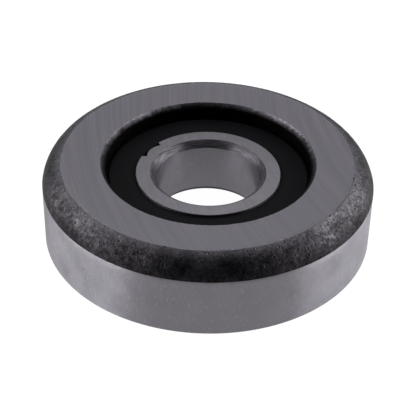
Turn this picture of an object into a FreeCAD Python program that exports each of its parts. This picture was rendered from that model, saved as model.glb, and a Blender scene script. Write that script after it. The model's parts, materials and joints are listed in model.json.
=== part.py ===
import FreeCAD, Part
import math
import os
import Sketcher

# A sealed cam follower roller with a thick outer ring. The inner ring stays still on its pin,
# and the outer ring rolls round it on a full complement of balls. Lengths are millimetres and
# +Z runs along the bore. Each piece is drawn about the ball plane, and the model's origin is
# on the axis, midway through the outer ring.

SIZES = {
    # outer ring
    "outer_diameter": 112.0,
    "outer_width": 28.0,
    "face_diameter": 99.0,
    "tread_corner_depth": 7.0,
    "tread_corner_radius": 9.3,
    "tread_foot_break": 0.2,
    "recess_mouth_diameter": 72.7,
    "recess_diameter": 69.8,
    "recess_bevel_depth": 1.75,
    "seal_seat_diameter": 67.8,
    "outer_shoulder_diameter": 66.5,
    # inner ring
    "bore_diameter": 35.0,
    "inner_width": 21.0,
    "inner_ring_diameter": 49.0,
    "inner_face_recess": 4.9,
    "bore_lead_in": 2.2,
    "bore_corner_radius": 3.4,
    "inner_rim_break": 0.12,
    # balls and raceways
    "ball_diameter": 13.494,
    "pitch_diameter": 57.5,
    "raceway_clearance": 0.02,
    "inner_groove_radius": 7.02,
    "outer_groove_radius": 7.15,
    # filling slots where the balls go in, and the plug that closes the inner one
    "slot_angle": 148.0,
    "slot_floor_half_width": 3.8,
    "slot_flank_spread": 0.7,
    "slot_mouth_depth": 4.0,
    "inner_slot_floor": 22.0,
    "outer_slot_floor": 35.4,
    "plug_flank": 0.35,
    "plug_crown_radius": 6.6,
    # seals: heights are above the ball plane
    "seat_floor_height": 7.3,
    "seat_ledge_height": 8.8,
    "seal_face_height": 9.8,
    "seal_rim_radius": 0.5,
    "lip_clearance": 0.2,
    "lip_reach": 1.8,
    "lip_drop": 0.15,
    "lip_thickness": 0.5,
    "insert_inner_diameter": 53.6,
    "insert_outer_diameter": 66.4,
    "insert_thickness": 0.7,
}
BALL_COUNT = 13

doc = FreeCAD.newDocument("CamFollower")
sheet = doc.addObject("Spreadsheet::Sheet", "Sizes")
for row, (alias, value) in enumerate(SIZES.items(), start=1):
    sheet.set(f"A{row}", alias)
    sheet.set(f"B{row}", str(value))
    sheet.setAlias(f"B{row}", alias)
doc.recompute()

AXIS_UP = FreeCAD.Vector(0, 0, 1)
HALF_INNER_WIDTH = "Sizes.inner_width / 2"
TOP_FACE = "(Sizes.inner_width / 2 + Sizes.inner_face_recess)"
BOTTOM_FACE = f"({TOP_FACE} - Sizes.outer_width)"
FACE_MIDDLE = (sheet.inner_width / 2 + sheet.inner_face_recess) - sheet.outer_width / 2


# Works a formula out from the sheet.
def size(formula):
    return float(sheet.evalExpression(formula))


# Starts a sub-part, turned so that its own +X points at the filling slots.
def newBody(label):
    body = doc.addObject("PartDesign::Body", label)
    body.Label = label
    spin = FreeCAD.Rotation(AXIS_UP, sheet.slot_angle)
    body.Placement = FreeCAD.Placement(FreeCAD.Vector(0, 0, -FACE_MIDDLE), spin)
    return body


# Starts a sketch on one of the body's own origin planes.
def newSketch(body, plane, name):
    sketch = body.newObject("Sketcher::SketchObject", name)
    planes = [feature for feature in body.Origin.OriginFeatures if feature.Role == plane]
    sketch.AttachmentSupport = [(planes[0], "")]
    sketch.MapMode = "FlatFace"
    return sketch


# Holds one dimension of a sketch to a formula.
def bind(sketch, kind, *rest):
    formula = rest[-1]
    index = sketch.addConstraint(Sketcher.Constraint(kind, *rest[:-1], size(formula)))
    sketch.setExpression(f"Constraints[{index}]", formula)


# The middle of an arc that bulges to the right of the way from start to end.
def archMiddle(start, end, radius):
    chord = end - start
    rise = radius - math.sqrt(radius**2 - (chord.Length / 2) ** 2)
    outward = FreeCAD.Vector(chord.y, -chord.x, 0).normalize()
    return (start + end) / 2 + outward * rise


# Draws a closed outline, anticlockwise. A corner is (across, up), and one given as
# (across, up, radius) starts an arc that bulges outward to the next corner.
def drawOutline(sketch, corners):
    points = [FreeCAD.Vector(size(corner[0]), size(corner[1]), 0) for corner in corners]
    for i, corner in enumerate(corners):
        start = points[i]
        end = points[(i + 1) % len(points)]
        if len(corner) == 3:
            sketch.addGeometry(Part.Arc(start, archMiddle(start, end, size(corner[2])), end))
        else:
            sketch.addGeometry(Part.LineSegment(start, end))
    for i, corner in enumerate(corners):
        bind(sketch, "DistanceX", -1, 1, i, 1, corner[0])
        bind(sketch, "DistanceY", -1, 1, i, 1, corner[1])
        sketch.addConstraint(Sketcher.Constraint("Coincident", i, 2, (i + 1) % len(corners), 1))
        if len(corner) == 3:
            bind(sketch, "Radius", i, corner[2])


# Turns an outline about the axis into a ring.
def turnRing(body, corners):
    section = newSketch(body, "XZ_Plane", body.Label + "_section")
    drawOutline(section, corners)
    ring = body.newObject("PartDesign::Revolution", body.Label + "_ring")
    ring.Profile = section
    ring.ReferenceAxis = (section, ["V_Axis"])
    ring.Angle = 360
    doc.recompute()
    return ring


# Turns a round raceway into a body. Side is 1 for a groove round the outside of a ring and
# -1 for one round its inside.
def cutRaceway(body, groove_radius, side):
    section = newSketch(body, "XZ_Plane", body.Label + "_groove_section")
    reach = f"(Sizes.ball_diameter / 2 + Sizes.raceway_clearance - {groove_radius})"
    centre = f"Sizes.pitch_diameter / 2 - {side} * {reach}"
    middle = FreeCAD.Vector(size(centre), 0, 0)
    section.addGeometry(Part.Circle(middle, AXIS_UP, size(groove_radius)))
    bind(section, "DistanceX", -1, 1, 0, 3, centre)
    section.addConstraint(Sketcher.Constraint("PointOnObject", 0, 3, -1))
    bind(section, "Radius", 0, groove_radius)
    groove = body.newObject("PartDesign::Groove", body.Label + "_raceway")
    groove.Profile = section
    groove.ReferenceAxis = (section, ["V_Axis"])
    groove.Angle = 360
    doc.recompute()
    return groove


# The slot's outline seen along the axis: a flat floor with flanks that spread towards the mouth.
# Side is 1 for a slot that opens outward and -1 for one that opens inward.
def drawSlot(sketch, floor, side):
    mouth = f"({floor} + {side} * Sizes.slot_mouth_depth)"
    spread = "Sizes.slot_mouth_depth * Sizes.slot_flank_spread"
    wide = f"(Sizes.slot_floor_half_width + {spread})"
    corners = [
        (floor, "-Sizes.slot_floor_half_width"),
        (mouth, f"-{wide}"),
        (mouth, wide),
        (floor, "Sizes.slot_floor_half_width"),
    ]
    drawOutline(sketch, corners[::side])


# Cuts a filling slot from the ball plane up to a height.
def cutSlot(body, floor, side, height):
    outline = newSketch(body, "XY_Plane", body.Label + "_slot_outline")
    drawSlot(outline, floor, side)
    slot = body.newObject("PartDesign::Pocket", body.Label + "_filling_slot")
    slot.Profile = outline
    slot.Reversed = True
    slot.setExpression("Length", height)
    doc.recompute()
    return slot


# Names the round edges of a feature that have a radius and a height.
def edgesAt(feature, radius, height):
    found = []
    for number, edge in enumerate(feature.Shape.Edges, start=1):
        if not isinstance(edge.Curve, Part.Circle):
            continue
        same_radius = math.isclose(edge.Curve.Radius, size(radius), abs_tol=1e-4)
        same_height = math.isclose(edge.Curve.Center.z, size(height), abs_tol=1e-4)
        if same_radius and same_height:
            found.append(f"Edge{number}")
    return found


# Rounds or bevels one edge of a body.
def breakEdge(body, kind, base, radius, height, amount):
    feature = body.newObject(f"PartDesign::{kind}", f"{body.Label}_{kind}")
    feature.Base = (base, edgesAt(base, radius, height))
    feature.setExpression("Radius" if kind == "Fillet" else "Size", amount)
    doc.recompute()
    return feature


# The tread rolls over to the upper face on an arc that was forged before both were ground, so
# it meets each of them in a clear edge.
def makeOuterRing():
    body = newBody("outer_ring")
    tread = "Sizes.outer_diameter / 2"
    mouth = "Sizes.recess_mouth_diameter / 2"
    recess = "Sizes.recess_diameter / 2"
    seat = "Sizes.seal_seat_diameter / 2"
    shoulder = "Sizes.outer_shoulder_diameter / 2"
    corners = [
        (mouth, BOTTOM_FACE),
        (tread, BOTTOM_FACE),
        (tread, f"{TOP_FACE} - Sizes.tread_corner_depth", "Sizes.tread_corner_radius"),
        ("Sizes.face_diameter / 2", TOP_FACE),
        (mouth, TOP_FACE),
        (recess, f"{TOP_FACE} - Sizes.recess_bevel_depth"),
        (recess, "Sizes.seat_ledge_height"),
        (seat, "Sizes.seat_ledge_height"),
        (seat, "Sizes.seat_floor_height"),
        (shoulder, "Sizes.seat_floor_height"),
        (shoulder, "-Sizes.seat_floor_height"),
        (seat, "-Sizes.seat_floor_height"),
        (seat, "-Sizes.seat_ledge_height"),
        (recess, "-Sizes.seat_ledge_height"),
        (recess, f"{BOTTOM_FACE} + Sizes.recess_bevel_depth"),
    ]
    blank = turnRing(body, corners)
    cutRaceway(body, "Sizes.outer_groove_radius", -1)
    slotted = cutSlot(body, "Sizes.outer_slot_floor", -1, "Sizes.seat_floor_height")
    foot = breakEdge(body, "Chamfer", slotted, tread, BOTTOM_FACE, "Sizes.tread_foot_break")
    return body, [blank, slotted, foot]


# Both ends of the bore have a lead-in as deep as it is wide. Its arc is flatter than a full
# quarter round, so it meets the bore in a clear edge.
def makeInnerRing():
    body = newBody("inner_ring")
    bore = "Sizes.bore_diameter / 2"
    mouth = f"{bore} + Sizes.bore_lead_in"
    rim = "Sizes.inner_ring_diameter / 2"
    corners = [
        (mouth, f"-{HALF_INNER_WIDTH}"),
        (f"{rim} - Sizes.inner_rim_break", f"-{HALF_INNER_WIDTH}"),
        (rim, f"-{HALF_INNER_WIDTH} + Sizes.inner_rim_break"),
        (rim, f"{HALF_INNER_WIDTH} - Sizes.inner_rim_break"),
        (f"{rim} - Sizes.inner_rim_break", HALF_INNER_WIDTH),
        (mouth, HALF_INNER_WIDTH, "Sizes.bore_corner_radius"),
        (bore, f"{HALF_INNER_WIDTH} - Sizes.bore_lead_in"),
        (bore, f"-{HALF_INNER_WIDTH} + Sizes.bore_lead_in", "Sizes.bore_corner_radius"),
    ]
    blank = turnRing(body, corners)
    raceway = cutRaceway(body, "Sizes.inner_groove_radius", 1)
    slotted = cutSlot(body, "Sizes.inner_slot_floor", 1, HALF_INNER_WIDTH)
    return body, [blank, raceway, slotted]


# The plug stands on the slot's floor and ends in a crowned outer face, which leaves a small
# notch beside each flank. The raceway runs on across its foot.
def makePlug():
    body = newBody("filling_slot_plug")
    floor = "Sizes.inner_slot_floor"
    corner = f"({floor} + Sizes.plug_flank)"
    narrow = "Sizes.slot_floor_half_width"
    spread = "Sizes.plug_flank * Sizes.slot_flank_spread"
    wide = f"(Sizes.slot_floor_half_width + {spread})"
    outline = newSketch(body, "XY_Plane", "plug_outline")
    corners = [
        (floor, f"-{narrow}"),
        (corner, f"-{wide}", "Sizes.plug_crown_radius"),
        (corner, wide),
        (floor, narrow),
    ]
    drawOutline(outline, corners)
    blank = body.newObject("PartDesign::Pad", "plug_blank")
    blank.Profile = outline
    blank.setExpression("Length", HALF_INNER_WIDTH)
    doc.recompute()
    raceway = cutRaceway(body, "Sizes.inner_groove_radius", 1)
    return body, [blank, raceway]


# The row of balls stands on the pitch circle, evenly spaced.
def makeBalls():
    balls = []
    for number in range(BALL_COUNT):
        label = f"ball_{number + 1:02d}"
        ball = doc.addObject("Part::Sphere", label)
        ball.Label = label
        ball.setExpression("Radius", "Sizes.ball_diameter / 2")
        angle = math.radians(sheet.slot_angle) + 2 * math.pi * number / BALL_COUNT
        pitch_radius = sheet.pitch_diameter / 2
        across = pitch_radius * math.cos(angle)
        away = pitch_radius * math.sin(angle)
        ball.Placement.Base = FreeCAD.Vector(across, away, -FACE_MIDDLE)
        balls.append(ball)
    return balls


# Turns a seal's rubber or its steel insert over, to close the lower side.
def turnOver(body):
    spin = FreeCAD.Rotation(FreeCAD.Vector(1, 0, 0), 180)
    body.Placement = FreeCAD.Placement(FreeCAD.Vector(0, 0, -FACE_MIDDLE), spin)


# The rubber disc fills the seat, covers the insert and thins to a lip beside the inner ring.
def makeSeal(label):
    body = newBody(label)
    seat = "Sizes.seal_seat_diameter / 2"
    floor = "Sizes.seat_floor_height"
    face = "Sizes.seal_face_height"
    tip = "(Sizes.inner_ring_diameter / 2 + Sizes.lip_clearance)"
    insert_outer = "Sizes.insert_outer_diameter / 2"
    insert_inner = "Sizes.insert_inner_diameter / 2"
    insert_top = f"({floor} + Sizes.insert_thickness)"
    corners = [
        (insert_outer, floor),
        (seat, floor),
        (seat, face),
        (f"{tip} + Sizes.lip_reach", face),
        (tip, f"{face} - Sizes.lip_drop"),
        (tip, f"{face} - Sizes.lip_drop - Sizes.lip_thickness"),
        (f"{tip} + Sizes.lip_reach / 2", f"{insert_top} + Sizes.lip_thickness / 2"),
        (f"{tip} + Sizes.lip_reach", floor),
        (insert_inner, floor),
        (insert_inner, insert_top),
        (insert_outer, insert_top),
    ]
    disc = turnRing(body, corners)
    rim = breakEdge(body, "Fillet", disc, seat, face, "Sizes.seal_rim_radius")
    return body, [disc, rim]


def makeInsert(label):
    body = newBody(label)
    insert_outer = "Sizes.insert_outer_diameter / 2"
    insert_inner = "Sizes.insert_inner_diameter / 2"
    floor = "Sizes.seat_floor_height"
    insert_top = f"({floor} + Sizes.insert_thickness)"
    corners = [
        (insert_inner, floor),
        (insert_outer, floor),
        (insert_outer, insert_top),
        (insert_inner, insert_top),
    ]
    turnRing(body, corners)
    return body


outer_ring, outer_steps = makeOuterRing()
inner_ring, inner_steps = makeInnerRing()
plug, plug_steps = makePlug()
upper_seal, upper_steps = makeSeal("upper_seal")
lower_seal, lower_steps = makeSeal("lower_seal")
upper_insert = makeInsert("upper_seal_insert")
lower_insert = makeInsert("lower_seal_insert")
turnOver(lower_seal)
turnOver(lower_insert)
pieces = [outer_ring, inner_ring, plug, upper_seal, upper_insert, lower_seal, lower_insert]
pieces += makeBalls()
doc.recompute()

# Each cut has to take material off.
for steps in (outer_steps, inner_steps, plug_steps, upper_steps, lower_steps):
    volumes = [step.Shape.Volume for step in steps]
    for before, after in zip(volumes, volumes[1:]):
        if after >= before:
            raise RuntimeError(f"{steps[0].Label}: a cut left the volume at {after:.2f}")

for item in doc.Objects:
    if "Invalid" in item.State or "Error" in item.State:
        raise RuntimeError(f"{item.Label} failed: {item.State}")
for piece in pieces:
    shape = piece.Shape
    if shape.isNull() or not shape.isValid() or len(shape.Solids) != 1:
        raise RuntimeError(f"{piece.Label} isn't one sound solid")

os.makedirs("parts", exist_ok=True)
for piece in pieces:
    piece.Shape.exportStep(f"parts/{piece.Label}.step")
    print(f"{piece.Label}: {piece.Shape.Volume:.1f} mm3")
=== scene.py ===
import json
import math

import bpy
from mathutils import Matrix, Vector, noise


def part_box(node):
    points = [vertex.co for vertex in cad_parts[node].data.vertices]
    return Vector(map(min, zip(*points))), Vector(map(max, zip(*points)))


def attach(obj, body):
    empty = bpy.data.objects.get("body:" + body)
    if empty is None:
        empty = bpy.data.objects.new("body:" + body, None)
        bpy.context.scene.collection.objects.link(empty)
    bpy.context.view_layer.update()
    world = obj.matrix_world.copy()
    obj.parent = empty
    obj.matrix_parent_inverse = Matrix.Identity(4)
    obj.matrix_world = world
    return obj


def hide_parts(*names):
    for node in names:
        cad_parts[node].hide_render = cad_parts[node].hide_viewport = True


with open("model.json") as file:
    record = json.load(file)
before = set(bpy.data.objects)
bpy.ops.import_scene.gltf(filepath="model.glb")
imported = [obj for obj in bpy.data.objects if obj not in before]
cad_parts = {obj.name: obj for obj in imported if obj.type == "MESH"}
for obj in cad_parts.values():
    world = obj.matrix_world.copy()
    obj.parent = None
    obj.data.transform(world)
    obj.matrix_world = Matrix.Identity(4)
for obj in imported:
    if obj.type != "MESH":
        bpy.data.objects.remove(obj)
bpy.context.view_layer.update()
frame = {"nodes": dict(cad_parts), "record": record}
mm = 0.001

# heights that every piece shares, read from the frame
bottomFace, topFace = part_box("outer_ring")[0].z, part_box("outer_ring")[1].z
ballLow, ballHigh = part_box("ball_01")
ballRadius = (ballHigh.z - ballLow.z) / 2
ballCentre = (ballLow + ballHigh) / 2
ballPlane = ballCentre.z
pitchRadius = math.hypot(ballCentre.x, ballCentre.y)
ballNames = sorted(n for n in frame["nodes"] if n.startswith("ball_"))
boreRadius = next(m for m in frame["record"]["mounts"] if m["name"] == "bore")["dims"]["r_mm"] * mm

print("frame loaded:", len(frame["nodes"]), "pieces, ball plane at", round(ballPlane / mm, 2), "mm")


def linear(hexColour):
    # sRGB hex to the linear colour a shader wants
    parts = [int(hexColour[i : i + 2], 16) / 255 for i in (1, 3, 5)]
    return [c / 12.92 if c <= 0.04045 else ((c + 0.055) / 1.055) ** 2.4 for c in parts] + [1.0]


def addNode(tree, kind, inputs=None, **settings):
    # one node with its settings; an input is a value, a socket, or a node whose result is wanted
    made = tree.nodes.new("ShaderNode" + kind)
    for name, value in settings.items():
        setattr(made, name, value)
    for key, value in (inputs or {}).items():
        named = [s for s in made.inputs if s.enabled and s.name == key]
        socket = named[0] if named else made.inputs[key]
        if isinstance(value, bpy.types.Node):
            value = next(s for s in value.outputs if s.enabled)
        if isinstance(value, bpy.types.NodeSocket):
            tree.links.new(value, socket)
        else:
            socket.default_value = value
    return made


def newMaterial(name):
    material = bpy.data.materials.new(name)
    material.use_nodes = True
    material.node_tree.nodes.clear()
    return material, material.node_tree


# a direction in the piece's own space, turned into the world's, as a shader's tangent is
toWorld = {"vector_type": "VECTOR", "convert_from": "OBJECT", "convert_to": "WORLD"}
noiseLow, noiseHigh = 0.3, 0.7  # nearly all of a noise's values lie between these


def lapMarks(tree, axes, radius, finish):
    # marks that run round the axis: noise drawn long round the ring and short across it
    turn = addNode(tree, "Math", {0: axes.outputs[1], 1: axes.outputs[0]}, operation="ARCTAN2")
    # both sides of the cut at half a turn must meet, so the turn is folded
    folded = addNode(tree, "Math", {0: turn}, operation="ABSOLUTE")
    along = addNode(tree, "Math", {0: folded, 1: radius / finish["markLength"]}, operation="MULTIPLY")
    across = addNode(tree, "Math", {0: axes.outputs[2], 1: 1 / finish["markSpacing"]}, operation="MULTIPLY")
    marks = addNode(tree, "CombineXYZ", {0: along, 1: across})
    return addNode(tree, "TexNoise", {"Vector": marks, "Scale": 1, "Detail": 3, "Roughness": 0.6})


# the wheel that ground the flat faces crossed them in wide arcs struck from one side
faceGrinding = {
    "wheelCentre": (185 * mm, 48 * mm, 0),
    "markSpacing": 0.5 * mm,  # real marks are some 0.05 mm apart; drawn coarser so that they show
    "markLength": 45 * mm,
    "bandSpacing": 2.6 * mm,
    "bandLength": 90 * mm,
}


def wheelMarks(tree, point):
    # fine marks and wider bands along the wheel's arcs, with the direction across them
    wheel = faceGrinding["wheelCentre"]
    inward = addNode(tree, "VectorMath", {0: wheel, 1: point}, operation="SUBTRACT")
    flat = addNode(tree, "VectorMath", {0: inward, 1: (1, 1, 0)}, operation="MULTIPLY")
    reach = addNode(tree, "VectorMath", {0: flat}, operation="LENGTH")
    sides = addNode(tree, "SeparateXYZ", {0: flat})
    turn = addNode(tree, "Math", {0: sides.outputs[1], 1: sides.outputs[0]}, operation="ARCTAN2")
    found = {}
    for size in ("mark", "band"):
        spacing, length = faceGrinding[size + "Spacing"], faceGrinding[size + "Length"]
        across = addNode(tree, "Math", {0: reach, 1: 1 / spacing}, operation="MULTIPLY")
        along = addNode(tree, "Math", {0: turn, 1: wheel[0] / length}, operation="MULTIPLY")
        place = addNode(tree, "CombineXYZ", {0: across, 1: along})
        settings = {"Vector": place, "Scale": 1, "Detail": 2, "Roughness": 0.55}
        found[size] = addNode(tree, "TexNoise", settings)
    found["across"] = addNode(tree, "VectorTransform", {"Vector": flat}, **toWorld)
    return found


# bearing steel, ground flat: a grey metal gleam, drawn out across the marks of the wheel
groundSteel = {
    "steel": "#8e8b95",
    "brightMark": "#98959d",
    "markTones": (0.14, 0.38),  # fine marks times bands, over which the steel brightens
    "markRelief": 0.01,  # against the relief of the scale
    "roughness": 0.42,
    "roughnessSpread": 0.04,
    "roughnessTones": (0.12, 0.4),
    "pull": 0.7,  # how much longer the gleam is across the marks than along them
}

# black heat-treatment scale on forged steel: a dull oxide that gleams darkly like the metal under
# it, mottled and pitted, rubbed paler beside the ground face, with painted shade darkening the
# recess wall and the low part of the forged corner
forgeScale = {
    "pitBlackAndPaintedShade": "#040303",  # in the pits, and as painted shade down the recess wall and low on the corner
    "black": "#221f21",
    "grey": "#58555b",
    "pale": "#96939b",
    "greyTones": (0.45, 1.3),  # the mottling over which black turns to grey, and grey to pale
    "paleTones": (1.3, 2.6),
    "grain": 0.45 * mm,
    "mottle": 1.5 * mm,
    "patch": 8 * mm,
    "pit": 1.9 * mm,
    "pitCrowding": 0.75,  # how strongly pits crowd together where the mottle is dark
    "pitEdges": (-0.32, -0.16),
    "pitShade": 0.2,
    "speckSpacing": 15 * mm,  # small inclusions that the wheel opened in the ground face
    "speckEdges": (0.012, 0.03),
    "roughness": 0.38,
    "roughnessBelow": 0.08,
    "roughnessAbove": 0.14,
    "relief": 0.16 * mm,
    "reliefStrength": 0.55,
    "edgeWander": 0.5 * mm,  # how far the edge of the ground face strays in and out
    "edgeNibs": 0.7 * mm,
    "nibTones": (0.5, 0.72),
    "edgeShift": 0.12 * mm,
    "edgeSoftness": 0.06 * mm,
    "skimDepths": (0.02 * mm, 0.05 * mm),  # the wheel cut nothing lower than this
    "rubbedDepth": 1.5 * mm,  # handling has rubbed the skin paler this far below the ground face
    "paintedWallShades": (0.02, 0.75),  # painted shade: how much colour the recess wall keeps at its foot and its mouth
    "paintedWallShadeFoot": 0.1 * mm,
    "paintedLowShadeShares": (0.2, 0.7),  # painted shade: the shares of the corner's depth over which the corner is darkened towards its foot
    "paintedLowShadeLevel": 0.5,
}


def groundArea(tree, ring, point, axes, depth, noises):
    # where the wheel reached: level with the face, and inside the edge of the forged corner
    look = forgeScale
    centre = (*ring["cornerOffset"], 0)
    shifted = addNode(tree, "VectorMath", {0: point, 1: centre}, operation="SUBTRACT")
    flat = addNode(tree, "VectorMath", {0: shifted, 1: (1, 1, 0)}, operation="MULTIPLY")
    reach = addNode(tree, "VectorMath", {0: flat}, operation="LENGTH")
    # the edge is ragged: it wanders with the mottle, and grains nibble at it
    ends = {0: noises["mottle"], 1: noiseLow, 2: noiseHigh, 3: 0, 4: look["edgeWander"]}
    wander = addNode(tree, "MapRange", ends)
    nibFrom, nibTo = look["nibTones"]
    nibs = addNode(tree, "MapRange", {0: noises["grain"], 1: nibFrom, 2: nibTo, 3: 0, 4: look["edgeNibs"]})
    rim = addNode(tree, "Math", {0: reach, 1: wander}, operation="ADD")
    rim = addNode(tree, "Math", {0: rim, 1: nibs}, operation="ADD")
    edge, soft = ring["faceRadius"] + look["edgeShift"], look["edgeSoftness"]
    inside = addNode(tree, "MapRange", {0: rim, 1: edge - soft, 2: edge + soft, 3: 1, 4: 0})
    # the lower face has no forged corner, so it's ground right out to the tread
    lower = addNode(tree, "Math", {0: axes.outputs[2], 1: 0}, operation="LESS_THAN")
    inside = addNode(tree, "Math", {0: inside, 1: lower}, operation="MAXIMUM")
    skimFrom, skimTo = look["skimDepths"]
    level = addNode(tree, "MapRange", {0: depth, 1: skimFrom, 2: skimTo, 3: 1, 4: 0})
    return addNode(tree, "Math", {0: inside, 1: level}, operation="MULTIPLY")


def scaleSkin(tree, ring, point, radius, depth, noises):
    # the scale's colour, with how sound it is, which is less in a pit
    look = forgeScale
    tone = addNode(tree, "Math", {0: noises["grain"], 1: noises["mottle"]}, operation="MULTIPLY")
    tone = addNode(tree, "Math", {0: tone, 1: noises["patch"]}, operation="MULTIPLY")
    # each of the three is about a half, so this brings the mottling to about one
    tone = addNode(tree, "Math", {0: tone, 1: 8}, operation="MULTIPLY")
    rubbed = addNode(tree, "MapRange", {0: depth, 1: 0, 2: look["rubbedDepth"], 3: 1, 4: 0})
    tone = addNode(tree, "Math", {0: tone, 1: rubbed}, operation="ADD")
    skin = linear(look["black"])
    for shadeName in ("grey", "pale"):
        toneFrom, toneTo = look[shadeName + "Tones"]
        share = addNode(tree, "MapRange", {0: tone, 1: toneFrom, 2: toneTo})
        ends = {"Factor": share, "A": skin, "B": linear(look[shadeName])}
        skin = addNode(tree, "Mix", ends, data_type="RGBA")
    pits = addNode(tree, "TexVoronoi", {"Vector": point, "Scale": 1 / look["pit"], "Randomness": 1})
    ends = {0: noises["mottle"], 1: -look["pitCrowding"], 2: pits.outputs["Distance"]}
    crowding = addNode(tree, "Math", ends, operation="MULTIPLY_ADD")
    pitFrom, pitTo = look["pitEdges"]
    sound = addNode(tree, "MapRange", {0: crowding, 1: pitFrom, 2: pitTo, 3: look["pitShade"], 4: 1})
    # painted shade: darker down the recess wall towards its foot, and darker low on the forged corner
    wallFrom, wallTo = ring["recessRadius"] + look["paintedWallShadeFoot"], ring["mouthRadius"]
    footShade, mouthShade = look["paintedWallShades"]
    wall = addNode(tree, "MapRange", {0: radius, 1: wallFrom, 2: wallTo, 3: footShade, 4: mouthShade})
    # painted shade: the forged corner is darkened towards its foot
    paintedShadeStart, paintedShadeFull = (ring["cornerDepth"] * share for share in look["paintedLowShadeShares"])
    paintedLowShadeMask = addNode(tree, "MapRange", {0: depth, 1: paintedShadeStart, 2: paintedShadeFull, 3: 1, 4: look["paintedLowShadeLevel"]})
    shade = addNode(tree, "Math", {0: sound, 1: wall}, operation="MULTIPLY")
    shade = addNode(tree, "Math", {0: shade, 1: paintedLowShadeMask}, operation="MULTIPLY")
    # real pits and the painted shade both take this near-black
    ends = {"Factor": shade, "A": linear(look["pitBlackAndPaintedShade"]), "B": skin}
    return addNode(tree, "Mix", ends, data_type="RGBA"), sound


def makeScaledSteel(ring):
    # forged steel with its black scale, ground bright where the wheel reached it, and with painted shade on
    # the recess wall and low on the corner
    material, tree = newMaterial("forgedSteelScaledAndGround")
    look = forgeScale
    point = addNode(tree, "TexCoord").outputs["Object"]
    axes = addNode(tree, "SeparateXYZ", {0: point})
    flat = addNode(tree, "VectorMath", {0: point, 1: (1, 1, 0)}, operation="MULTIPLY")
    radius = addNode(tree, "VectorMath", {0: flat}, operation="LENGTH")
    height = addNode(tree, "Math", {0: axes.outputs[2]}, operation="ABSOLUTE")
    depth = addNode(tree, "Math", {0: topFace, 1: height}, operation="SUBTRACT")
    noises = {}
    for size, detail, coarse in (("grain", 4, 0.7), ("mottle", 4, 0.65), ("patch", 3, 0.6)):
        settings = {"Vector": point, "Scale": 1 / look[size], "Detail": detail, "Roughness": coarse}
        noises[size] = addNode(tree, "TexNoise", settings)
    ground = groundArea(tree, ring, point, axes, depth, noises)
    skin, sound = scaleSkin(tree, ring, point, radius, depth, noises)

    wheel = wheelMarks(tree, point)
    marks = addNode(tree, "Math", {0: wheel["mark"], 1: wheel["band"]}, operation="MULTIPLY")
    markFrom, markTo = groundSteel["markTones"]
    share = addNode(tree, "MapRange", {0: marks, 1: markFrom, 2: markTo})
    ends = {"Factor": share, "A": linear(groundSteel["steel"]), "B": linear(groundSteel["brightMark"])}
    steel = addNode(tree, "Mix", ends, data_type="RGBA")
    specks = addNode(tree, "TexVoronoi", {"Vector": point, "Scale": 1 / look["speckSpacing"]})
    speckFrom, speckTo = look["speckEdges"]
    clean = addNode(tree, "MapRange", {0: specks.outputs["Distance"], 1: speckFrom, 2: speckTo})
    steel = addNode(tree, "Mix", {"Factor": clean, "A": linear(look["grey"]), "B": steel}, data_type="RGBA")
    colour = addNode(tree, "Mix", {"Factor": ground, "A": skin, "B": steel}, data_type="RGBA")

    smooth, dull = look["roughness"] - look["roughnessBelow"], look["roughness"] + look["roughnessAbove"]
    ends = {0: noises["mottle"], 1: noiseLow, 2: noiseHigh, 3: dull, 4: smooth}
    scaleRough = addNode(tree, "MapRange", ends)
    spread = groundSteel["roughnessSpread"]
    smooth, dull = groundSteel["roughness"] - spread, groundSteel["roughness"] + spread
    markFrom, markTo = groundSteel["roughnessTones"]
    steelRough = addNode(tree, "MapRange", {0: marks, 1: markFrom, 2: markTo, 3: dull, 4: smooth})
    rough = addNode(tree, "Mix", {"Factor": ground, "A": scaleRough, "B": steelRough}, data_type="FLOAT")

    ends = {0: noises["mottle"], 1: 2, 2: noises["grain"]}
    scaleHeight = addNode(tree, "Math", ends, operation="MULTIPLY_ADD")
    scaleHeight = addNode(tree, "Math", {0: scaleHeight, 1: sound}, operation="MULTIPLY")
    steelHeight = addNode(tree, "Math", {0: marks, 1: groundSteel["markRelief"]}, operation="MULTIPLY")
    ends = {"Factor": ground, "A": scaleHeight, "B": steelHeight}
    relief = addNode(tree, "Mix", ends, data_type="FLOAT")
    ends = {"Height": relief, "Strength": look["reliefStrength"], "Distance": look["relief"]}
    bump = addNode(tree, "Bump", ends)
    ends = {"Factor": ground, "A": (0, 0, 1), "B": wheel["across"]}
    pull = addNode(tree, "Mix", ends, data_type="VECTOR")
    shader = addNode(
        tree,
        "BsdfPrincipled",
        {
            "Base Color": colour,
            "Metallic": 1,
            "Roughness": rough,
            "Anisotropic": groundSteel["pull"],
            "Tangent": pull,
            "Normal": bump,
        },
    )
    addNode(tree, "OutputMaterial", {"Surface": shader})
    return material


# what every ground round has: where its flat faces begin, its specks, rubs and turned edges
roundWork = {
    "faceSlopes": (0.97, 0.995),  # how squarely a flat face looks along the axis
    "turnedSlopes": (0.1, 0.3),
    "markTones": (0.12, 0.4),
    "speckEdges": (0.015, 0.04),
    "rubWidth": 0.3125 * mm,
    "rubLength": 1.82 * mm,
    "rubTones": (0.73, 0.78),
    "rubStrength": 0.8,
    "streakTones": (0.35, 0.65),
    "streakStrength": 0.6,
    "turnedRoughness": 0.5,
    "roughnessBelow": 0.02,
    "roughnessAbove": 0.03,
    "reliefStrength": 0.15,
}


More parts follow.
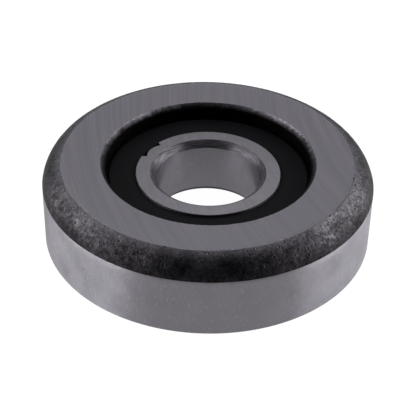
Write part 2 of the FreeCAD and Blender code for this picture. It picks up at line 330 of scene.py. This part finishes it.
def makeGroundRound(name, radius, finish):
    # bearing steel ground round its axis, with flat faces ground by the wheel
    material, tree = newMaterial(name)
    survey = addNode(tree, "TexCoord")
    point = survey.outputs["Object"]
    axes = addNode(tree, "SeparateXYZ", {0: point})
    facing = addNode(tree, "SeparateXYZ", {0: survey.outputs["Normal"]})
    upright = addNode(tree, "Math", {0: facing.outputs[2]}, operation="ABSOLUTE")
    faceFrom, faceTo = roundWork["faceSlopes"]
    onFace = addNode(tree, "MapRange", {0: upright, 1: faceFrom, 2: faceTo})
    # what is neither flat nor upright is a lead-in or a broken edge, turned and left duller
    turnedFrom, turnedTo = roundWork["turnedSlopes"]
    leaning = addNode(tree, "MapRange", {0: upright, 1: turnedFrom, 2: turnedTo})
    turned = addNode(tree, "Math", {0: leaning, 1: onFace}, operation="SUBTRACT")

    wheel = wheelMarks(tree, point)
    rings = lapMarks(tree, axes, radius, finish)
    marks = addNode(tree, "Mix", {"Factor": onFace, "A": rings, "B": wheel["mark"]}, data_type="FLOAT")
    settings = {"Vector": point, "Scale": 1 / finish["cloud"], "Detail": 4, "Roughness": 0.6}
    cloud = addNode(tree, "TexNoise", settings)
    tone = addNode(tree, "Math", {0: marks, 1: cloud}, operation="MULTIPLY")
    markFrom, markTo = roundWork["markTones"]
    share = addNode(tree, "MapRange", {0: tone, 1: markFrom, 2: markTo})
    ends = {"Factor": share, "A": linear(finish["steel"]), "B": linear(finish["brightMark"])}
    colour = addNode(tree, "Mix", ends, data_type="RGBA")

    # rubs from handling run up and down the wall, short, bright and few
    across, along = 1 / roundWork["rubWidth"], 1 / roundWork["rubLength"]
    ends = {0: point, 1: (across, across, along)}
    stretched = addNode(tree, "VectorMath", ends, operation="MULTIPLY")
    rubs = addNode(tree, "TexNoise", {"Vector": stretched, "Scale": 1, "Detail": 0})
    rubFrom, rubTo = roundWork["rubTones"]
    strong = addNode(tree, "MapRange", {0: rubs, 1: rubFrom, 2: rubTo, 3: 0, 4: roundWork["rubStrength"]})
    onWall = addNode(tree, "Math", {0: 1, 1: upright}, operation="SUBTRACT")
    rub = addNode(tree, "Math", {0: strong, 1: onWall}, operation="MULTIPLY")
    ends = {"Factor": rub, "A": colour, "B": linear(finish["rubbed"])}
    colour = addNode(tree, "Mix", ends, data_type="RGBA")
    specks = addNode(tree, "TexVoronoi", {"Vector": point, "Scale": 1 / finish["speckSpacing"]})
    speckFrom, speckTo = roundWork["speckEdges"]
    clean = addNode(tree, "MapRange", {0: specks.outputs["Distance"], 1: speckFrom, 2: speckTo})
    ends = {"Factor": clean, "A": linear(finish["speck"]), "B": colour}
    colour = addNode(tree, "Mix", ends, data_type="RGBA")
    streakFrom, streakTo = roundWork["streakTones"]
    streak = addNode(tree, "MapRange", {0: rings, 1: streakFrom, 2: streakTo})
    streak = addNode(tree, "Math", {0: streak, 1: roundWork["streakStrength"]}, operation="MULTIPLY")
    ends = {"Factor": streak, "A": linear(finish["turned"]), "B": linear(finish["steel"])}
    lathed = addNode(tree, "Mix", ends, data_type="RGBA")
    colour = addNode(tree, "Mix", {"Factor": turned, "A": colour, "B": lathed}, data_type="RGBA")

    smooth = finish["roughness"] - roundWork["roughnessBelow"]
    dull = finish["roughness"] + roundWork["roughnessAbove"]
    ends = {0: cloud, 1: noiseLow, 2: noiseHigh, 3: smooth, 4: dull}
    rough = addNode(tree, "MapRange", ends)
    for area, value in ((onFace, groundSteel["roughness"]), (turned, roundWork["turnedRoughness"])):
        rough = addNode(tree, "Mix", {"Factor": area, "A": rough, "B": value}, data_type="FLOAT")
    ends = {"Height": marks, "Strength": roundWork["reliefStrength"], "Distance": finish["markRelief"]}
    bump = addNode(tree, "Bump", ends)
    outward = addNode(tree, "VectorMath", {0: point, 1: (1, 1, 0)}, operation="MULTIPLY")
    outward = addNode(tree, "VectorMath", {0: outward}, operation="NORMALIZE")
    outward = addNode(tree, "VectorMath", {0: outward, "Scale": finish["pullLean"]}, operation="SCALE")
    upward = addNode(tree, "VectorMath", {0: outward, 1: (0, 0, 1)}, operation="ADD")
    upward = addNode(tree, "VectorTransform", {"Vector": upward}, **toWorld)
    pull = addNode(tree, "Mix", {"Factor": onFace, "A": upward, "B": wheel["across"]}, data_type="VECTOR")
    shader = addNode(
        tree,
        "BsdfPrincipled",
        {
            "Base Color": colour,
            "Metallic": 1,
            "Roughness": rough,
            "Anisotropic": finish["pull"],
            "Tangent": pull,
            "Normal": bump,
        },
    )
    addNode(tree, "OutputMaterial", {"Surface": shader})
    return material


# a turned and ground ring, whose forged corner and recess wall keep the uneven skin of the forging
outerRing = {
    "treadRadius": 56 * mm,
    "faceRadius": 49.5 * mm,
    "cornerDepth": 7 * mm,
    "cornerRadius": 9.3 * mm,
    "cornerOffset": (-0.3 * mm, 0.35 * mm),  # how far the forged corner's middle lies off the axis
    "footBreak": 0.2 * mm,
    "mouthRadius": 36.35 * mm,
    "recessRadius": 34.9 * mm,
    "bevelDepth": 1.75 * mm,
    "seatRadius": 33.9 * mm,
    "shoulderRadius": 33.25 * mm,
    "seatFloor": 7.3 * mm,  # this and the ledge are heights from the ball plane
    "seatLedge": 8.8 * mm,
    "grooveRadius": 7.15 * mm,
    "grooveClearance": 0.02 * mm,
    "segments": 900,
    "lumpSize": 2.6 * mm,
    "lumpDepth": 0.07 * mm,
    "pitSize": 1.9 * mm,
    "pitReach": 0.35,  # how far a pit spreads in its cell
    "pitDepth": 0.08 * mm,
    "fadeDepth": 0.4 * mm,  # lumps die away this near to the corner's ground edges
    "wallShare": 0.8,  # how lumpy the recess wall is beside the corner
    "nibbleSize": 0.9 * mm,
    "mouthNibble": 0.12 * mm,  # how far the ground face's inner edge wanders
    "sharpAngle": 32,
    "samePlace": 1e-7,  # points nearer than this are one
}


def arcPoints(centre, radius, fromAngle, toAngle, steps):
    turns = [fromAngle + (toAngle - fromAngle) * i / steps for i in range(steps + 1)]
    return [
        (centre[0] + radius * math.cos(math.radians(t)), centre[1] + radius * math.sin(math.radians(t)))
        for t in turns
    ]


def linePoints(start, end, steps):
    return [tuple(start[k] + (end[k] - start[k]) * i / steps for k in (0, 1)) for i in range(steps + 1)]


def cornerArc(ring, steps):
    # the forged corner's section, from the tread up to the face
    low = Vector((ring["treadRadius"], topFace - ring["cornerDepth"]))
    high = Vector((ring["faceRadius"], topFace))
    chord = high - low
    inward = Vector((-chord.y, chord.x)).normalized()
    centre = (low + high) / 2 + inward * math.sqrt(ring["cornerRadius"] ** 2 - (chord.length / 2) ** 2)
    turns = [math.degrees(math.atan2(end.y - centre.y, end.x - centre.x)) for end in (low, high)]
    return arcPoints(centre, ring["cornerRadius"], turns[0], turns[1], steps)


def outerRingOutline(ring):
    # stretches of the section from the lower mouth out, up and back in, each with its finish
    tread, foot = ring["treadRadius"], ring["footBreak"]
    corner, edge = ring["cornerDepth"], ring["faceRadius"]
    mouth, recess, bevel = ring["mouthRadius"], ring["recessRadius"], ring["bevelDepth"]
    seat, shoulder = ring["seatRadius"], ring["shoulderRadius"]
    grooveFoot = pitchRadius + ballRadius + ring["grooveClearance"]
    grooveCentre = (grooveFoot - ring["grooveRadius"], ballPlane)
    grooveEnd = math.degrees(math.acos((shoulder - grooveCentre[0]) / ring["grooveRadius"]))
    upLedge, upFloor = ballPlane + ring["seatLedge"], ballPlane + ring["seatFloor"]
    lowLedge, lowFloor = ballPlane - ring["seatLedge"], ballPlane - ring["seatFloor"]
    return [
        ("face", linePoints((mouth, bottomFace), (tread - foot, bottomFace), 6)),
        ("tread", linePoints((tread - foot, bottomFace), (tread, bottomFace + foot), 2)),
        ("tread", linePoints((tread, bottomFace + foot), (tread, topFace - corner), 8)),
        ("scale", cornerArc(ring, 44)),
        ("face", linePoints((edge, topFace), (mouth, topFace), 6)),
        ("scale", linePoints((mouth, topFace), (recess, topFace - bevel), 8)),
        ("scale", linePoints((recess, topFace - bevel), (recess, upLedge), 3)),
        ("scale", linePoints((recess, upLedge), (seat, upLedge), 1)),
        ("seat", linePoints((seat, upLedge), (seat, upFloor), 1)),
        ("seat", linePoints((seat, upFloor), (shoulder, upFloor), 1)),
        ("seat", [(shoulder, upFloor)]),
        ("seat", arcPoints(grooveCentre, ring["grooveRadius"], grooveEnd, -grooveEnd, 14)),
        ("seat", linePoints((shoulder, lowFloor), (seat, lowFloor), 1)),
        ("seat", linePoints((seat, lowFloor), (seat, lowLedge), 1)),
        ("scale", linePoints((seat, lowLedge), (recess, lowLedge), 1)),
        ("scale", linePoints((recess, lowLedge), (recess, bottomFace + bevel), 3)),
        ("scale", linePoints((recess, bottomFace + bevel), (mouth, bottomFace), 8)),
    ]


def unevenness(place, size):
    return noise.fractal(place / size, 0.8, 2.0, 3)


def forgedDepth(ring, place):
    # how far the forged skin lies below its mean: soft lumps and scattered pits
    lumps = 0.5 + 0.5 * unevenness(place, ring["lumpSize"])
    cell = noise.voronoi(place / ring["pitSize"])[0][0]
    pit = max(0.0, 1 - cell / ring["pitReach"]) ** 2
    return ring["lumpDepth"] * lumps + ring["pitDepth"] * pit


def makeOuterRing(ring, materials):
    # the outline turned round the axis, each stretch with its finish, and made uneven where forged
    outline = []
    for finish, points in outerRingOutline(ring):
        for point in points:
            if outline and math.dist(outline[-1][1], point) < ring["samePlace"]:
                continue
            outline.append((finish, point))
    if math.dist(outline[-1][1], outline[0][1]) < ring["samePlace"]:
        outline.pop()
    count, segments = len(outline), ring["segments"]
    cornerFoot = topFace - ring["cornerDepth"]
    alongSlope = math.sqrt(0.5)  # the corner's skin sinks inwards and down alike
    vertices, faces, faceMaterials = [], [], []
    for step in range(segments):
        turn = 2 * math.pi * step / segments
        for finish, (radius, height) in outline:
            place = Vector((radius * math.cos(turn), radius * math.sin(turn), height))
            if radius > ring["faceRadius"] - ring["samePlace"] and height > cornerFoot:
                # the corner's lumps fade out at its two ground edges, and its upper edge is off the axis
                nearest = min(topFace - height, height - cornerFoot)
                depth = forgedDepth(ring, place) * min(1, nearest / ring["fadeDepth"]) * alongSlope
                offset = ring["cornerOffset"][0] * math.cos(turn) + ring["cornerOffset"][1] * math.sin(turn)
                radius += offset * (height - cornerFoot) / ring["cornerDepth"] - depth
                height -= depth
            elif finish == "scale" and abs(height) < topFace and radius > ring["recessRadius"]:
                radius += forgedDepth(ring, place) * ring["wallShare"]
            elif abs(radius - ring["mouthRadius"]) < ring["samePlace"]:
                radius += ring["mouthNibble"] * unevenness(place, ring["nibbleSize"])
            vertices.append((radius * math.cos(turn), radius * math.sin(turn), height))
        for i in range(count):
            j, following = (i + 1) % count, (step + 1) % segments
            here, there = step * count, following * count
            faces.append((here + i, there + i, there + j, here + j))
            faceMaterials.append(materials[outline[j][0]])
    mesh = bpy.data.meshes.new("outerRingForged")
    mesh.from_pydata(vertices, [], faces)
    for material in sorted(set(materials.values()), key=lambda m: m.name):
        mesh.materials.append(material)
    order = {m.name: i for i, m in enumerate(mesh.materials)}
    mesh.polygons.foreach_set("material_index", [order[m.name] for m in faceMaterials])
    mesh.polygons.foreach_set("use_smooth", [True] * len(faces))
    mesh.update()
    mesh.set_sharp_from_angle(angle=math.radians(ring["sharpAngle"]))
    made = bpy.data.objects.new("outer_ring_forged", mesh)
    bpy.context.scene.collection.objects.link(made)
    return made


def wear(nodeName, material):
    # a CAD piece whose shape is right takes a finer material
    data = frame["nodes"][nodeName].data
    data.materials.clear()
    data.materials.append(material)


# the tread, ground between wheels: an even satin that shines in long upright bands
treadFinish = {
    "steel": "#9d9aa2",
    "brightMark": "#b0adb5",
    "rubbed": "#c4c2c9",
    "turned": "#77757b",
    "speck": "#5c5a60",
    "markSpacing": 0.3 * mm,  # real marks are finer; these are drawn so that they show
    "markLength": 0.7 * mm,
    "markRelief": 0.004 * mm,
    "cloud": 9 * mm,
    "speckSpacing": 9 * mm,
    "roughness": 0.36,
    "pull": 0.9,
    "pullLean": 0,  # how far the gleam's long direction leans outwards from upright
}

# turned and left as it was: duller and greyer, with rings from the tool
turnedFinish = {
    "steel": "#77757b",
    "brightMark": "#96949a",
    "rubbed": "#a5a3a9",
    "turned": "#77757b",
    "speck": "#3c3a3e",
    "markSpacing": 0.3 * mm,
    "markLength": 16 * mm,
    "markRelief": 0.01 * mm,
    "cloud": 6 * mm,
    "speckSpacing": 4 * mm,
    "roughness": 0.4,
    "pull": 0.4,
    "pullLean": 0.3,
}

# the inner ring: a satin ground bore, flat ground faces, and dark streaky lead-ins
boreFinish = {
    "steel": "#98959d",
    "brightMark": "#a7a4ac",
    "rubbed": "#b4b2b9",
    "turned": "#504e53",
    "speck": "#5c5a60",
    "markSpacing": 0.3 * mm,
    "markLength": 4 * mm,
    "markRelief": 0.006 * mm,
    "cloud": 5 * mm,
    "speckSpacing": 4 * mm,
    "roughness": 0.3,
    "pull": 0.9,
    "pullLean": 1,
}

scaledSteel = makeScaledSteel(outerRing)
treadSteel = makeGroundRound("bearingSteelTreadGround", outerRing["treadRadius"], treadFinish)
turnedSteel = makeGroundRound("bearingSteelTurned", outerRing["recessRadius"], turnedFinish)
finishes = {"face": scaledSteel, "scale": scaledSteel, "tread": treadSteel, "seat": turnedSteel}
forgedRing = makeOuterRing(outerRing, finishes)
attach(forgedRing, "outer_ring")
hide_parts("outer_ring")
print("outer ring:", len(forgedRing.data.polygons), "faces")

innerSteel = makeGroundRound("bearingSteelBoreGround", boreRadius, boreFinish)
wear("inner_ring", innerSteel)
wear("filling_slot_plug", innerSteel)
print("inner ring and its plug finished")


# nitrile rubber moulded against a satin tool: black, even, softly shining, with a little dust
sealRubber = {
    "rubber": "#0a0a0d",
    "worn": "#131318",
    "dust": "#55555a",
    "grain": 0.25 * mm,
    "cloud": 14 * mm,
    "dustSpacing": 3.2 * mm,
    "dustEdges": (0.02, 0.06),
    "dustStrength": 0.6,
    "roughness": 0.6,
    "roughnessBelow": 0.05,
    "roughnessAbove": 0.06,
    "relief": 0.02 * mm,
    "reliefStrength": 0.25,
    "refraction": 1.52,
    "shine": 0.1,  # the fine grain of the mould leaves the rubber dull
}


def makeSealRubber():
    material, tree = newMaterial("nitrileRubberMoulded")
    look = sealRubber
    point = addNode(tree, "TexCoord").outputs["Object"]
    settings = {"Vector": point, "Scale": 1 / look["grain"], "Detail": 3, "Roughness": 0.6}
    grain = addNode(tree, "TexNoise", settings)
    cloud = addNode(tree, "TexNoise", {"Vector": point, "Scale": 1 / look["cloud"], "Detail": 3})
    specks = addNode(tree, "TexVoronoi", {"Vector": point, "Scale": 1 / look["dustSpacing"]})
    dustFrom, dustTo = look["dustEdges"]
    ends = {0: specks.outputs["Distance"], 1: dustFrom, 2: dustTo, 3: look["dustStrength"], 4: 0}
    dust = addNode(tree, "MapRange", ends)
    ends = {"Factor": cloud, "A": linear(look["rubber"]), "B": linear(look["worn"])}
    colour = addNode(tree, "Mix", ends, data_type="RGBA")
    ends = {"Factor": dust, "A": colour, "B": linear(look["dust"])}
    colour = addNode(tree, "Mix", ends, data_type="RGBA")
    smooth, dull = look["roughness"] - look["roughnessBelow"], look["roughness"] + look["roughnessAbove"]
    rough = addNode(tree, "MapRange", {0: cloud, 1: noiseLow, 2: noiseHigh, 3: smooth, 4: dull})
    ends = {"Height": grain, "Strength": look["reliefStrength"], "Distance": look["relief"]}
    bump = addNode(tree, "Bump", ends)
    shader = addNode(
        tree,
        "BsdfPrincipled",
        {
            "Base Color": colour,
            "Roughness": rough,
            "IOR": look["refraction"],
            "Specular IOR Level": look["shine"],
            "Normal": bump,
        },
    )
    addNode(tree, "OutputMaterial", {"Surface": shader})
    return material


rubber = makeSealRubber()
wear("upper_seal", rubber)
wear("lower_seal", rubber)
wear("upper_seal_insert", turnedSteel)
wear("lower_seal_insert", turnedSteel)
print("seals finished")


# chrome steel lapped to a mirror: bright, with hair-fine scratches every way
ballFinish = {
    "steel": "#c9c8ca",
    "scratched": "#b4b3b6",
    "scratch": 0.6 * mm,
    "scratchTones": (0.35, 0.65),
    "roughness": (0.063, 0.126),
}


def makeBallSteel():
    material, tree = newMaterial("chromeSteelLapped")
    point = addNode(tree, "TexCoord").outputs["Object"]
    settings = {"Vector": point, "Scale": 1 / ballFinish["scratch"], "Detail": 5, "Roughness": 0.7}
    scratch = addNode(tree, "TexNoise", {**settings, "Distortion": 3})
    low, high = ballFinish["scratchTones"]
    share = addNode(tree, "MapRange", {0: scratch, 1: low, 2: high})
    ends = {"Factor": share, "A": linear(ballFinish["steel"]), "B": linear(ballFinish["scratched"])}
    colour = addNode(tree, "Mix", ends, data_type="RGBA")
    smooth, dull = ballFinish["roughness"]
    rough = addNode(tree, "MapRange", {0: scratch, 1: low, 2: high, 3: smooth, 4: dull})
    shader = addNode(tree, "BsdfPrincipled", {"Base Color": colour, "Metallic": 1, "Roughness": rough})
    addNode(tree, "OutputMaterial", {"Surface": shader})
    return material


ballSteel = makeBallSteel()
for name in ballNames:
    wear(name, ballSteel)
print("balls finished:", len(ballNames))


# a pale light table in a plain lit room, with a wide softbox at each side
studio = {
    "roomColour": "#ffffff",
    "floorColour": "#f7f7f7",
    "floorBounce": "#666666",  # what the table top sends back of the lights' own shine
    "floorGlow": 1.05,  # how white the table top looks
    "floorReturn": (0.44, 0.055),  # how much of that glow falls on the part, from near and from far
    "glowReach": (190 * mm, 420 * mm),  # between these distances that glow dies away
    "floorHalf": 3000 * mm,
    "floorGap": 0.05 * mm,  # keeps the table top clear of the part's lower face
    "backWall": 0.5,  # and the ceiling behind the part
    "ceiling": 0.3,
    "darkRoom": 0.02,  # high on the camera's side
    "lowWall": 0.3,  # and low down there
    "lowWallTops": (0.28, 0.4),  # where the low wall ends, as a direction's z
    "ceilingEdges": (0.72, 0.92),
    "wallEdges": (-0.4, -0.2),  # how far towards the camera the lit room reaches, as a direction's y
    "rigTurn": 7,  # how far the softboxes are swung round the part, in degrees
    "boxDistance": 750 * mm,
    "boxWidth": 1090 * mm,
    "boxHeight": 600 * mm,
    "boxPower": 6.8,
}


def makeTable():
    # a pale glowing table top
    material, tree = newMaterial("lightTableAcrylic")
    seen = addNode(tree, "LightPath").outputs["Is Camera Ray"]
    near, far = studio["glowReach"]
    nearReturn, farReturn = studio["floorReturn"]
    place = addNode(tree, "TexCoord").outputs["Object"]
    reach = addNode(tree, "VectorMath", {0: place}, operation="LENGTH")
    ends = {0: reach, 1: near, 2: far, 3: nearReturn, 4: farReturn}
    fading = addNode(tree, "MapRange", ends)
    strength = addNode(tree, "MapRange", {0: seen, 3: fading, 4: studio["floorGlow"]})
    diffuse = addNode(tree, "BsdfDiffuse", {"Color": linear(studio["floorBounce"])})
    glow = addNode(tree, "Emission", {"Color": linear(studio["floorColour"]), "Strength": strength})
    both = addNode(tree, "AddShader", {0: diffuse, 1: glow})
    # it has no underside, so the part can be seen from below
    under = addNode(tree, "NewGeometry").outputs["Backfacing"]
    clear = addNode(tree, "BsdfTransparent")
    oneSided = addNode(tree, "MixShader", {0: under, 1: both, 2: clear})
    addNode(tree, "OutputMaterial", {"Surface": oneSided})
    half, top = studio["floorHalf"], bottomFace - studio["floorGap"]
    corners = [(x * half, y * half, top) for x, y in ((-1, -1), (1, -1), (1, 1), (-1, 1))]
    mesh = bpy.data.meshes.new("floor")
    mesh.from_pydata(corners, [], [(0, 1, 2, 3)])
    mesh.materials.append(material)
    floor = bpy.data.objects.new("floor", mesh)
    bpy.context.scene.collection.objects.link(floor)


def makeRoom():
    # a lit room behind, beside and over the part, dark on the camera's side
    world = bpy.data.worlds.new("studioRoom")
    world.use_nodes = True
    tree = world.node_tree
    tree.nodes.clear()
    direction = addNode(tree, "TexCoord").outputs["Generated"]
    axes = addNode(tree, "SeparateXYZ", {0: direction})
    nearEdge, farEdge = studio["wallEdges"]
    lowFrom, lowTo = studio["lowWallTops"]
    ends = {0: axes.outputs[2], 1: lowFrom, 2: lowTo, 3: studio["lowWall"], 4: studio["darkRoom"]}
    nearSide = addNode(tree, "MapRange", ends)
    highFrom, highTo = studio["ceilingEdges"]
    ends = {0: axes.outputs[2], 1: highFrom, 2: highTo, 3: studio["backWall"], 4: studio["ceiling"]}
    farSide = addNode(tree, "MapRange", ends)
    behind = addNode(tree, "MapRange", {0: axes.outputs[1], 1: nearEdge, 2: farEdge})
    level = addNode(tree, "Mix", {"Factor": behind, "A": nearSide, "B": farSide}, data_type="FLOAT")
    seen = addNode(tree, "LightPath").outputs["Is Camera Ray"]
    ends = {"Factor": seen, "A": level, "B": studio["floorGlow"]}
    level = addNode(tree, "Mix", ends, data_type="FLOAT")
    background = addNode(tree, "Background", {"Color": linear(studio["roomColour"]), "Strength": level})
    addNode(tree, "OutputWorld", {"Surface": background})
    bpy.context.scene.world = world


def makeSoftbox(name, side):
    light = bpy.data.lights.new(name, "AREA")
    light.shape, light.size, light.size_y = "RECTANGLE", studio["boxWidth"], studio["boxHeight"]
    light.energy = studio["boxPower"]
    box = bpy.data.objects.new(name, light)
    turn = math.radians(studio["rigTurn"])
    reach = side * studio["boxDistance"]
    height = bottomFace + studio["boxHeight"] / 2
    box.location = (reach * math.cos(turn), reach * math.sin(turn), height)
    box.rotation_euler = (math.pi / 2, 0, side * math.pi / 2 + turn)
    bpy.context.scene.collection.objects.link(box)


# seen from the front and above, through a long lens
cameraSetting = {
    "aim": (0.2 * mm, 0, -6.3 * mm),
    "distance": 443.8 * mm,
    "elevation": 36.69,
    "roll": 1.27,
    "lens": 111.07,
    "sensor": 36,
}


def makeCamera():
    data = bpy.data.cameras.new("camera")
    data.lens, data.sensor_width = cameraSetting["lens"], cameraSetting["sensor"]
    camera = bpy.data.objects.new("camera", data)
    lift = math.radians(cameraSetting["elevation"])
    back = Vector((0, -math.cos(lift), math.sin(lift)))
    place = Matrix.Translation(Vector(cameraSetting["aim"]) + back * cameraSetting["distance"])
    tilt = Matrix.Rotation(math.pi / 2 - lift, 4, "X")
    camera.matrix_world = place @ tilt @ Matrix.Rotation(math.radians(cameraSetting["roll"]), 4, "Z")
    bpy.context.scene.collection.objects.link(camera)
    bpy.context.scene.camera = camera


makeTable()
makeRoom()
makeSoftbox("leftSoftbox", -1)
makeSoftbox("rightSoftbox", 1)
makeCamera()
bpy.context.scene.view_settings.view_transform = "Standard"
print("studio and camera ready")
